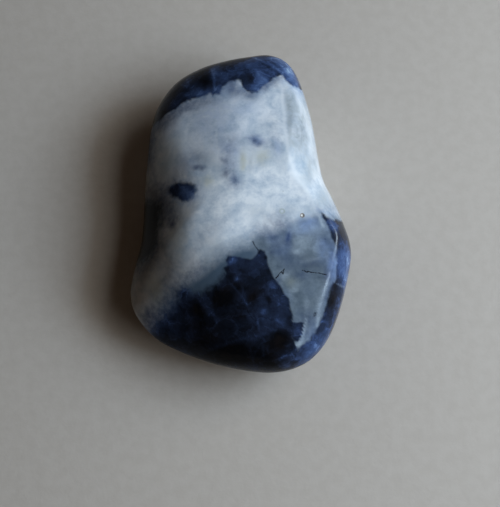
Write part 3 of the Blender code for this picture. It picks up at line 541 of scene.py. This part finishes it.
def pebble_mesh():
    """A cube's grid of quads, thrown out to the surface of the pebble."""
    bm = bmesh.new()
    bmesh.ops.create_cube(bm, size=2)
    bmesh.ops.subdivide_edges(bm, edges=bm.edges[:], cuts=GRID_CUTS, use_grid_fill=True)
    spread = np.tan(np.array([v.co for v in bm.verts]) * math.pi / 4)
    points = surface_points(spread / np.linalg.norm(spread, axis=1)[:, None])
    for vert, point in zip(bm.verts, points):
        vert.co = point * MM
    bmesh.ops.recalc_face_normals(bm, faces=bm.faces[:])
    mesh = bpy.data.meshes.new("polished_pebble")
    bm.to_mesh(mesh)
    bm.free()
    mesh.shade_smooth()
    return mesh


def vertex_vectors(mesh, what):
    values = np.empty(len(mesh.vertices) * 3)
    mesh.vertices.foreach_get(what, values)
    return values.reshape(-1, 3)


def wander(points, size, reach):
    """A smooth, irregular shift of up to the reach, in two directions, for each point."""
    return np.array([noise.noise_vector(Vector(p / size))[:2] for p in points]) * reach


def inside_by(spots, corners):
    """How far spots lie inside a closed outline; negative is outside."""
    start = np.array(corners, float)
    side = np.roll(start, -1, axis=0) - start
    away = spots[:, None, :] - start
    share = np.clip((away * side).sum(2) / (side**2).sum(1), 0, 1)
    gap = np.linalg.norm(away - side * share[..., None], axis=2).min(1)
    starts_below = away[..., 1] >= 0
    ends_below = away[..., 1] - side[:, 1] >= 0
    left_of_side = side[:, 0] * away[..., 1] - side[:, 1] * away[..., 0]
    crossed = (starts_below != ends_below) & ((left_of_side > 0) == (side[:, 1] < 0))
    return np.where(crossed.sum(1) % 2 == 1, gap, -gap)


def stroke_gap(spots, course):
    """How far spots lie from an open course of straight stretches."""
    course = np.array(course, float)
    side = course[1:] - course[:-1]
    away = spots[:, None, :] - course[:-1]
    share = np.clip((away * side).sum(2) / (side**2).sum(1), 0, 1)
    return np.linalg.norm(away - side * share[..., None], axis=2).min(1)


def marking(spots, name):
    """How much of a marking there is at each spot of the view, from 0 to 1."""
    clear = np.ones(len(spots))
    for softness, corners in ZONES.get(name, ()):
        clear = np.minimum(clear, np.clip(0.5 - 0.5 * inside_by(spots, corners) / softness, 0, 1))
    for right, up, wide, tall, strength, *turned in SPOTS.get(name, ()):
        away = spots - np.array([right, up])
        turn = math.radians(sum(turned))
        c, s = math.cos(turn), math.sin(turn)
        gap = ((away @ np.array([c, s])) / wide) ** 2 + ((away @ np.array([-s, c])) / tall) ** 2
        clear = clear * (1 - strength * np.exp(-gap))
    for width, strength, course in STROKES.get(name, ()):
        clear = clear * (1 - strength * np.exp(-((stroke_gap(spots, course) / width) ** 2)))
    return 1 - clear


def crest(mesh, points, normals):
    """How sharply the surface bulges at each vertex, from its neighbours."""
    ends = np.empty(len(mesh.edges) * 2, int)
    mesh.edges.foreach_get("vertices", ends)
    ends = ends.reshape(-1, 2)
    side = points[ends[:, 1]] - points[ends[:, 0]]
    bulge, spread = np.zeros(len(points)), np.zeros(len(points))
    for a, sign in ((0, -1), (1, 1)):
        np.add.at(bulge, ends[:, a], sign * (side * normals[ends[:, a]]).sum(1))
        np.add.at(spread, ends[:, a], (side**2).sum(1))
    bend = 2 * bulge / spread
    upward = np.clip(normals[:, 2] * 2, 0, 1)
    return np.clip((bend - CREST_FROM) / (CREST_TO - CREST_FROM), 0, 1) * upward


def mark(mesh):
    """Lays every marking on the mesh, as one attribute each."""
    points = vertex_vectors(mesh, "co") / MM
    normals = vertex_vectors(mesh, "normal")
    hidden = np.clip(0.15 - normals @ TOWARDS_VIEWER, 0, 1)
    noise.seed_set(WANDER_SEED)
    spots = seen(points)
    for size, reach in zip(WANDER_SIZES, WANDER_REACH):
        spots = spots + wander(points, size, reach)
    spots = spots + wander(points, HIDDEN_WANDER_SIZE, HIDDEN_WANDER_REACH) * hidden[:, None]
    amounts = {name: marking(spots, name) for name in MARKINGS}
    nearest = np.max([inside_by(spots, corners) for _, corners in ZONES["navy"]], axis=0)
    amounts["fringe"] = np.exp(np.minimum(nearest, 0) / FRINGE_REACH) * FRINGE_STRENGTH
    amounts["crest"] = crest(mesh, points, normals)
    for name, amount in amounts.items():
        mesh.attributes.new(name, "FLOAT", "POINT").data.foreach_set("value", amount)


def add(tree, kind, sockets=(), **settings):
    """Adds a node. Its sockets are set by name or number, to a value or to another node's output."""
    node = tree.nodes.new(kind)
    for key, value in settings.items():
        setattr(node, key, value)
    for key, value in dict(sockets).items():
        if isinstance(value, bpy.types.NodeSocket):
            tree.links.new(value, node.inputs[key])
        else:
            node.inputs[key].default_value = value
    return node


def calc(tree, operation, a, b=0.0, c=0.0, clamp=False):
    node = add(tree, "ShaderNodeMath", {0: a, 1: b, 2: c}, operation=operation, use_clamp=clamp)
    return node.outputs[0]


def vector_calc(tree, operation, a, b=(0, 0, 0), output=0):
    return add(tree, "ShaderNodeVectorMath", {0: a, 1: b}, operation=operation).outputs[output]


def scaled(tree, vector, scale):
    return add(tree, "ShaderNodeVectorMath", {0: vector, "Scale": scale}, operation="SCALE").outputs[0]


def blend(tree, amount, a, b):
    """Colour a turning into colour b by the amount."""
    return add(tree, "ShaderNodeMix", {0: amount, 6: a, 7: b}, data_type="RGBA").outputs[2]


def ramp(tree, value, low, high, to_low=0.0, to_high=1.0):
    """Eases a value between two levels."""
    sockets = {0: value, 1: low, 2: high, 3: to_low, 4: to_high}
    return add(tree, "ShaderNodeMapRange", sockets, interpolation_type="SMOOTHSTEP").outputs[0]


def grain(tree, place, size, detail=3.0, roughness=0.55, distortion=0.0):
    """Cloudy noise whose patches are about this many millimetres across, from 0 to 1."""
    sockets = {"Vector": place, "Scale": 1 / size, "Detail": detail}
    sockets.update({"Roughness": roughness, "Distortion": distortion})
    return add(tree, "ShaderNodeTexNoise", sockets).outputs["Fac"]


def new_group(name, inputs, outputs):
    """A node group with named sockets, and its input and output nodes."""
    group = bpy.data.node_groups.new(name, "ShaderNodeTree")
    for socket_name, kind in inputs:
        group.interface.new_socket(socket_name, in_out="INPUT", socket_type=kind)
    for socket_name, kind in outputs:
        group.interface.new_socket(socket_name, in_out="OUTPUT", socket_type=kind)
    return group, group.nodes.new("NodeGroupInput").outputs, group.nodes.new("NodeGroupOutput").inputs


NUMBER, COLOUR, VECTOR = "NodeSocketFloat", "NodeSocketColor", "NodeSocketVector"


def edge_group():
    """Turns a marking's soft amount into its edge: frayed by noise, and as sharp as its softness allows."""
    group, given, result = new_group(
        "frayed edge",
        (("Place", VECTOR), ("Amount", NUMBER), ("Fray size", NUMBER), ("Fray", NUMBER), ("Width", NUMBER)),
        (("Mask", NUMBER),),
    )
    fine = add(group, "ShaderNodeTexNoise", {
        "Vector": given["Place"],
        "Scale": calc(group, "DIVIDE", 1.0, given["Fray size"]),
        "Detail": 3.0,
    }).outputs["Fac"]
    shift = calc(group, "MULTIPLY", calc(group, "SUBTRACT", fine, 0.5), given["Fray"])
    frayed = calc(group, "ADD", given["Amount"], shift)
    low = calc(group, "SUBTRACT", 0.5, given["Width"])
    high = calc(group, "ADD", 0.5, given["Width"])
    group.links.new(ramp(group, frayed, low, high), result["Mask"])
    return group


def white_group():
    """The white feldspar: cloudy, with grey translucent, cream and bluish parts, its grey amount also
    carrying painted shade and its pale amount painted highlights.
    """
    group, given, result = new_group(
        "white mineral",
        (("Place", VECTOR), ("Grey", NUMBER), ("Cream", NUMBER), ("Blue", NUMBER), ("Pale", NUMBER)),
        (("Color", COLOUR),),
    )
    place = given["Place"]
    clouds = grain(group, place, 2.6, 3, 0.6, 0.4)
    mottle = grain(group, place, 0.8, 4, 0.65, 0.3)
    flecks = grain(group, place, 0.28, 2, 0.5)
    level = calc(group, "MULTIPLY_ADD", calc(group, "SUBTRACT", clouds, 0.5), 2.2, 0.66)
    rougher = calc(group, "MULTIPLY_ADD", given["Blue"], 2.0, 1.15)
    level = calc(group, "MULTIPLY_ADD", calc(group, "SUBTRACT", mottle, 0.5), rougher, level)
    rougher = calc(group, "MULTIPLY", rougher, 0.3)
    level = calc(group, "MULTIPLY_ADD", calc(group, "SUBTRACT", flecks, 0.5), rougher, level, clamp=True)
    colour = blend(group, level, WHITE_LOW, WHITE_HIGH)
    patchy = ramp(group, mottle, 0.3, 0.7, 0.6, 1.15)
    # Grey parts, and painted shade on the upper right flank.
    grey = calc(group, "MULTIPLY", given["Grey"], patchy, clamp=True)
    colour = blend(group, grey, colour, GREY_AND_SHADE)
    cream = calc(group, "MULTIPLY", given["Cream"], patchy, clamp=True)
    colour = blend(group, cream, colour, CREAM)
    blue = calc(group, "MULTIPLY", given["Blue"], ramp(group, mottle, 0.35, 0.65, 0.55, 1.2), clamp=True)
    colour = blend(group, blue, colour, WHITE_BLUE)
    # Pale parts, and painted highlights along the ridges, turn towards the brightest white.
    colour = blend(group, calc(group, "MULTIPLY", given["Pale"], 0.8), colour, WHITE_HIGH)
    group.links.new(colour, result["Color"])
    return group


def veil_group():
    """The thin, see-through layer over the dark mass: greenish grey, turning periwinkle; its pale amount also
    paints highlights.
    """
    group, given, result = new_group(
        "veil mineral",
        (("Place", VECTOR), ("Grey", NUMBER), ("Cream", NUMBER), ("Blue", NUMBER), ("Pale", NUMBER)),
        (("Color", COLOUR),),
    )
    place = given["Place"]
    clouds = grain(group, place, 2.0, 3, 0.6, 0.5)
    mottle = grain(group, place, 0.6, 4, 0.6, 0.3)
    level = calc(group, "MULTIPLY_ADD", calc(group, "SUBTRACT", clouds, 0.5), 1.4, 0.55)
    level = calc(group, "MULTIPLY_ADD", calc(group, "SUBTRACT", mottle, 0.5), 1.0, level, clamp=True)
    colour = blend(group, level, VEIL_LOW, VEIL_HIGH)
    patchy = ramp(group, mottle, 0.3, 0.7, 0.7, 1.15)
    colour = blend(group, calc(group, "MULTIPLY", given["Grey"], patchy, clamp=True), colour, VEIL_GREY)
    colour = blend(group, calc(group, "MULTIPLY", given["Cream"], patchy, clamp=True), colour, VEIL_CREAM)
    colour = blend(group, calc(group, "MULTIPLY", given["Blue"], patchy, clamp=True), colour, VEIL_BLUE)
    # Pale parts, and painted highlights along the ridges.
    colour = blend(group, calc(group, "MULTIPLY", given["Pale"], patchy, clamp=True), colour, VEIL_PALE_AND_GLINT)
    group.links.new(colour, result["Color"])
    return group


def navy_group():
    """The sodalite itself: near black to clear blue, in blocks, crossed by hair-thin pale veins; its pale
    amount also paints highlights.
    """
    group, given, result = new_group(
        "navy mineral",
        (("Place", VECTOR), ("Blue", NUMBER), ("Dark", NUMBER), ("Pale", NUMBER)),
        (("Color", COLOUR),),
    )
    place = given["Place"]
    bent = add(group, "ShaderNodeTexNoise", {"Vector": place, "Scale": 1.1, "Detail": 2.0}).outputs["Color"]
    bent = scaled(group, vector_calc(group, "SUBTRACT", bent, (0.5, 0.5, 0.5)), 1.1)
    bent = vector_calc(group, "ADD", place, bent)
    block = add(group, "ShaderNodeTexVoronoi", {"Vector": bent, "Scale": 0.75}).outputs["Color"]
    block = add(group, "ShaderNodeSeparateColor", {0: block}).outputs[0]
    seam = add(group, "ShaderNodeTexVoronoi", {"Vector": bent, "Scale": 0.55}, feature="DISTANCE_TO_EDGE")
    seam = seam.outputs[0]
    seam = ramp(group, seam, 0.0, 0.06, 1.0, 0.0)
    clouds = grain(group, place, 1.6, 4, 0.6, 0.6)
    mottle = grain(group, place, 0.42, 4, 0.65, 0.4)
    level = calc(group, "MULTIPLY_ADD", calc(group, "SUBTRACT", clouds, 0.5), 0.5, 0.26)
    level = calc(group, "MULTIPLY_ADD", calc(group, "SUBTRACT", block, 0.5), 0.16, level)
    level = calc(group, "MULTIPLY_ADD", calc(group, "SUBTRACT", mottle, 0.5), 0.28, level)
    level = calc(group, "MULTIPLY_ADD", given["Blue"], 0.38, level)
    level = calc(group, "MULTIPLY_ADD", given["Dark"], -0.42, level)
    seam = calc(group, "MULTIPLY", seam, ramp(group, clouds, 0.42, 0.62))
    level = calc(group, "MULTIPLY_ADD", seam, 0.13, level)
    level = calc(group, "MULTIPLY_ADD", given["Pale"], 0.5, level, clamp=True)
    stops = add(group, "ShaderNodeValToRGB", {0: level})
    while len(stops.color_ramp.elements) < len(NAVY_STOPS):
        stops.color_ramp.elements.new(0.5)
    for element, (position, colour) in zip(stops.color_ramp.elements, NAVY_STOPS):
        element.position = position
        element.color = (*colour, 1)
    warm = calc(group, "MULTIPLY", given["Dark"], ramp(group, clouds, 0.4, 0.6), clamp=True)
    colour = blend(group, calc(group, "MULTIPLY", warm, 0.5), stops.outputs[0], NAVY_BROWN)
    group.links.new(colour, result["Color"])
    return group


def hairline_group():
    """A straight, hair-thin crack between two places."""
    group, given, result = new_group(
        "hairline",
        (("Place", VECTOR), ("From", VECTOR), ("To", VECTOR), ("Width", NUMBER)),
        (("Mask", NUMBER),),
    )
    away = vector_calc(group, "SUBTRACT", given["Place"], given["From"])
    side = vector_calc(group, "SUBTRACT", given["To"], given["From"])
    along = vector_calc(group, "DOT_PRODUCT", away, side, "Value")
    share = calc(group, "DIVIDE", along, vector_calc(group, "DOT_PRODUCT", side, side, "Value"), clamp=True)
    gap = vector_calc(group, "DISTANCE", away, scaled(group, side, share), "Value")
    edge = calc(group, "MULTIPLY", given["Width"], 0.4)
    sockets = {0: gap, 1: edge, 2: given["Width"], 3: 1.0, 4: 0.0}
    mask = add(group, "ShaderNodeMapRange", sockets, interpolation_type="SMOOTHSTEP").outputs[0]
    group.links.new(mask, result["Mask"])
    return group


def pit_group():
    """A round pit: how deep it is at a place, and its rim."""
    group, given, result = new_group(
        "pit",
        (("Place", VECTOR), ("Centre", VECTOR), ("Radius", NUMBER)),
        (("Depth", NUMBER), ("Rim", NUMBER)),
    )
    wobble = calc(group, "MULTIPLY_ADD", grain(group, given["Place"], 0.15, 2), 0.16, -0.08)
    gap = vector_calc(group, "DISTANCE", given["Place"], given["Centre"], "Value")
    gap = calc(group, "DIVIDE", calc(group, "ADD", gap, wobble), given["Radius"])
    group.links.new(ramp(group, gap, 0.3, 1.0, 1.0, 0.0), result["Depth"])
    rim = calc(group, "ABSOLUTE", calc(group, "SUBTRACT", gap, 0.9))
    group.links.new(ramp(group, rim, 0.1, 0.4, 1.0, 0.0), result["Rim"])
    return group


def attribute(tree, name):
    return add(tree, "ShaderNodeAttribute", attribute_name=name).outputs["Fac"]


def use(tree, group, output, **sockets):
    """Puts a group to use in a tree; spaces in its socket names are written as underscores."""
    node = tree.nodes.new("ShaderNodeGroup")
    node.node_tree = group
    for key, value in sockets.items():
        socket = node.inputs[key.replace("_", " ")]
        if isinstance(value, bpy.types.NodeSocket):
            tree.links.new(value, socket)
        else:
            socket.default_value = value
    return node.outputs[output] if isinstance(output, str) else [node.outputs[name] for name in output]


def soft(tree, place, amount, unevenness):
    """A marking that fades without an edge, a little stronger and weaker from place to place."""
    uneven = calc(tree, "SUBTRACT", grain(tree, place, 0.5, 4, 0.6, 0.3), 0.5)
    halfway = calc(tree, "MULTIPLY", amount, calc(tree, "SUBTRACT", 1.0, amount))
    spread = calc(tree, "MULTIPLY", halfway, 8.0 * unevenness)
    return calc(tree, "MULTIPLY_ADD", uneven, spread, amount, clamp=True)


def pebble_material():
    material, tree, shader = new_material("polished_sodalite")
    metres = add(tree, "ShaderNodeTexCoord").outputs["Object"]
    place = scaled(tree, metres, PER_MM)
    amounts = {name: attribute(tree, name) for name in (*MARKINGS, "crest", "fringe")}

    edge = edge_group()
    navy = use(tree, edge, "Mask", Place=place, Amount=amounts["navy"], Fray_size=0.5, Fray=0.5, Width=0.4)
    veil = use(tree, edge, "Mask", Place=place, Amount=amounts["veil"], Fray_size=0.9, Fray=0.45, Width=0.5)
    tints = {name.capitalize(): amounts[name] for name in ("grey", "cream", "blue", "pale")}
    white_colour = use(tree, white_group(), "Color", Place=place, **tints)
    veil_colour = use(tree, veil_group(), "Color", Place=place, **tints)
    tints = {name.capitalize(): amounts[name] for name in ("blue", "dark", "pale")}
    navy_colour = use(tree, navy_group(), "Color", Place=place, **tints)
    uneven = ramp(tree, grain(tree, place, 0.7, 3), 0.3, 0.7, 0.3, 1.1)
    fringe = calc(tree, "MULTIPLY", amounts["fringe"], uneven, clamp=True)
    white_colour = blend(tree, fringe, white_colour, FRINGE)
    white_colour = blend(tree, soft(tree, place, amounts["thin"], 0.25), white_colour, THIN)
    colour = blend(tree, veil, white_colour, veil_colour)
    # Ink: dark blue haze, and painted shade along the left rim.
    colour = blend(tree, soft(tree, place, amounts["ink_and_shade"], 0.35), colour, INK_AND_SHADE)
    colour = blend(tree, navy, colour, navy_colour)
    # Painted shade along the left, shadowed side: the colour there is multiplied by a dark warm tint.
    shaded = add(tree, "ShaderNodeMix", {0: 1.0, 6: colour, 7: SHADE_TINT}, data_type="RGBA", blend_type="MULTIPLY")
    colour = blend(tree, amounts["painted_shade"], colour, shaded.outputs[2])

    # Crests are rubbed rougher, and tinted bluish white as a painted sheen.
    wear_and_sheen = calc(tree, "MULTIPLY", amounts["crest"], ramp(tree, grain(tree, place, 0.3, 3), 0.45, 0.75))
    colour = blend(tree, calc(tree, "MULTIPLY", wear_and_sheen, 0.25), colour, WHITE_BLUE)

    hairline = hairline_group()
    shake = add(tree, "ShaderNodeTexNoise", {"Vector": place, "Scale": 3.0, "Detail": 2.0}).outputs["Color"]
    shake = vector_calc(tree, "SUBTRACT", shake, (0.5, 0.5, 0.5))
    shaken = vector_calc(tree, "ADD", place, scaled(tree, shake, 0.25))
    crack = None
    for course in CRACKS:
        places = [place_on_top(right, up) for right, up in course]
        for start, end in zip(places, places[1:]):
            line = use(tree, hairline, "Mask", Place=shaken, From=start, To=end, Width=CRACK_WIDTH)
            crack = line if crack is None else calc(tree, "MAXIMUM", crack, line)
    crack = calc(tree, "MULTIPLY", crack, ramp(tree, grain(tree, place, 0.35, 2), 0.3, 0.5, 0.35, 0.95))
    colour = blend(tree, crack, colour, CRACK)

    pit = pit_group()
    (right, up), radius = OPEN_PIT
    depth, rim = use(tree, pit, ("Depth", "Rim"), Place=place, Centre=place_on_top(right, up), Radius=radius)
    colour = blend(tree, calc(tree, "MULTIPLY", rim, 0.8), colour, PIT_RIM)
    # The open pit's floor is painted as a bright glint.
    colour = blend(tree, depth, colour, PIT_GLINT)
    (right, up), radius = FILLED_PIT
    filling, filled_rim = use(
        tree, pit, ("Depth", "Rim"), Place=place, Centre=place_on_top(right, up), Radius=radius
    )
    colour = blend(tree, calc(tree, "MULTIPLY", filled_rim, 0.6), colour, PIT_FILLING)
    tree.links.new(colour, shader.inputs["Base Color"])

    tree.links.new(calc(tree, "MULTIPLY", amounts["crest"], 0.9, clamp=True), shader.inputs["Coat Weight"])
    smear = grain(tree, place, 1.8, 3)
    fine = grain(tree, place, 0.12, 3)
    gloss = ramp(tree, smear, 0.3, 0.7, 0.09, 0.15)
    gloss = calc(tree, "MULTIPLY_ADD", fine, 0.06, gloss)
    gloss = calc(tree, "MULTIPLY_ADD", wear_and_sheen, 0.12, gloss)
    gloss = calc(tree, "MULTIPLY_ADD", crack, 0.3, gloss, clamp=True)
    tree.links.new(gloss, shader.inputs["Roughness"])

    swell = calc(tree, "MULTIPLY", grain(tree, place, 1.5, 2), 0.035)
    height = calc(tree, "MULTIPLY_ADD", grain(tree, place, 0.35, 2), 0.0035, swell)
    height = calc(tree, "MULTIPLY_ADD", crack, -0.02, height)
    height = calc(tree, "MULTIPLY_ADD", depth, -0.15, height)
    height = calc(tree, "MULTIPLY_ADD", filling, -0.015, height)
    bump = add(tree, "ShaderNodeBump", {"Height": height, "Distance": MM, "Strength": 1.0}).outputs[0]
    tree.links.new(bump, shader.inputs["Normal"])
    shader.inputs["IOR"].default_value = 1.48
    shader.inputs["Specular IOR Level"].default_value = 0.05
    shader.inputs["Coat Roughness"].default_value = 0.09
    shader.inputs["Coat IOR"].default_value = 1.9
    shader.inputs["Subsurface Weight"].default_value = 0.22
    shader.inputs["Subsurface Radius"].default_value = (1.0, 1.0, 1.0)
    shader.inputs["Subsurface Scale"].default_value = 0.9 * MM
    return material


def add_object(name, data):
    obj = bpy.data.objects.new(name, data)
    bpy.context.scene.collection.objects.link(obj)
    return obj


def aim(obj, place, target):
    """Puts a light or the camera at a place, looking at a target."""
    place, target = Vector(place) * MM, Vector(target) * MM
    obj.location = place
    obj.rotation_euler = (target - place).to_track_quat("-Z", "Y").to_euler()


def make_camera():
    camera = bpy.data.cameras.new("camera")
    camera.sensor_width = SENSOR
    camera.lens = SENSOR * VIEW_FOCAL_PX / FRAME_HEIGHT_PX
    camera.clip_start = 0.01
    obj = add_object("camera", camera)
    aim(obj, EYE, VIEW_TARGET)
    bpy.context.scene.camera = obj


def make_lights():
    for name, turn, lift, distance, (wide, tall), power, colour in LIGHTS:
        light = bpy.data.lights.new(name, "AREA")
        light.shape = "RECTANGLE"
        light.size, light.size_y = wide * MM, tall * MM
        light.energy = power
        light.color = colour
        turn, lift = math.radians(turn), math.radians(lift)
        level = math.cos(lift)
        place = np.array([level * math.cos(turn), level * math.sin(turn), math.sin(lift)]) * distance
        aim(add_object(name, light), place, LIGHT_TARGET)
    world = bpy.data.worlds.new("room")
    world.use_nodes = True
    background = world.node_tree.nodes["Background"]
    background.inputs["Color"].default_value = (*ROOM_COLOUR, 1)
    background.inputs["Strength"].default_value = ROOM_STRENGTH
    bpy.context.scene.world = world
    bpy.context.scene.view_settings.view_transform = "Standard"


def new_material(name):
    material = bpy.data.materials.new(name)
    material.use_nodes = True
    return material, material.node_tree, material.node_tree.nodes["Principled BSDF"]


def make_floor():
    bm = bmesh.new()
    bmesh.ops.create_grid(bm, x_segments=1, y_segments=1, size=FLOOR_SIZE / 2 * MM)
    mesh = bpy.data.meshes.new("floor")
    bm.to_mesh(mesh)
    bm.free()
    material, tree, shader = new_material("pale_floor")
    place = scaled(tree, add(tree, "ShaderNodeTexCoord").outputs["Object"], PER_MM)
    tone = ramp(tree, grain(tree, place, 1.2, 4), 0.3, 0.7)
    colour = blend(tree, tone, (*FLOOR_LOW, 1), (*FLOOR_HIGH, 1))
    tree.links.new(colour, shader.inputs["Base Color"])
    rough = ramp(tree, grain(tree, place, 0.6, 3), 0.3, 0.7, 0.85, 0.95)
    tree.links.new(rough, shader.inputs["Roughness"])
    height = calc(tree, "MULTIPLY", grain(tree, place, 0.5, 4), 0.02)
    bump = add(tree, "ShaderNodeBump", {"Height": height, "Distance": MM, "Strength": 1.0}).outputs[0]
    tree.links.new(bump, shader.inputs["Normal"])
    mesh.materials.append(material)
    add_object("floor", mesh)


def make_pebble():
    mesh = pebble_mesh()
    mark(mesh)
    mesh.materials.append(pebble_material())
    pebble = add_object("polished_pebble", mesh)
    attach(pebble, "root")
    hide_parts("sodalite_pebble")


make_pebble()
make_floor()
make_lights()
make_camera()
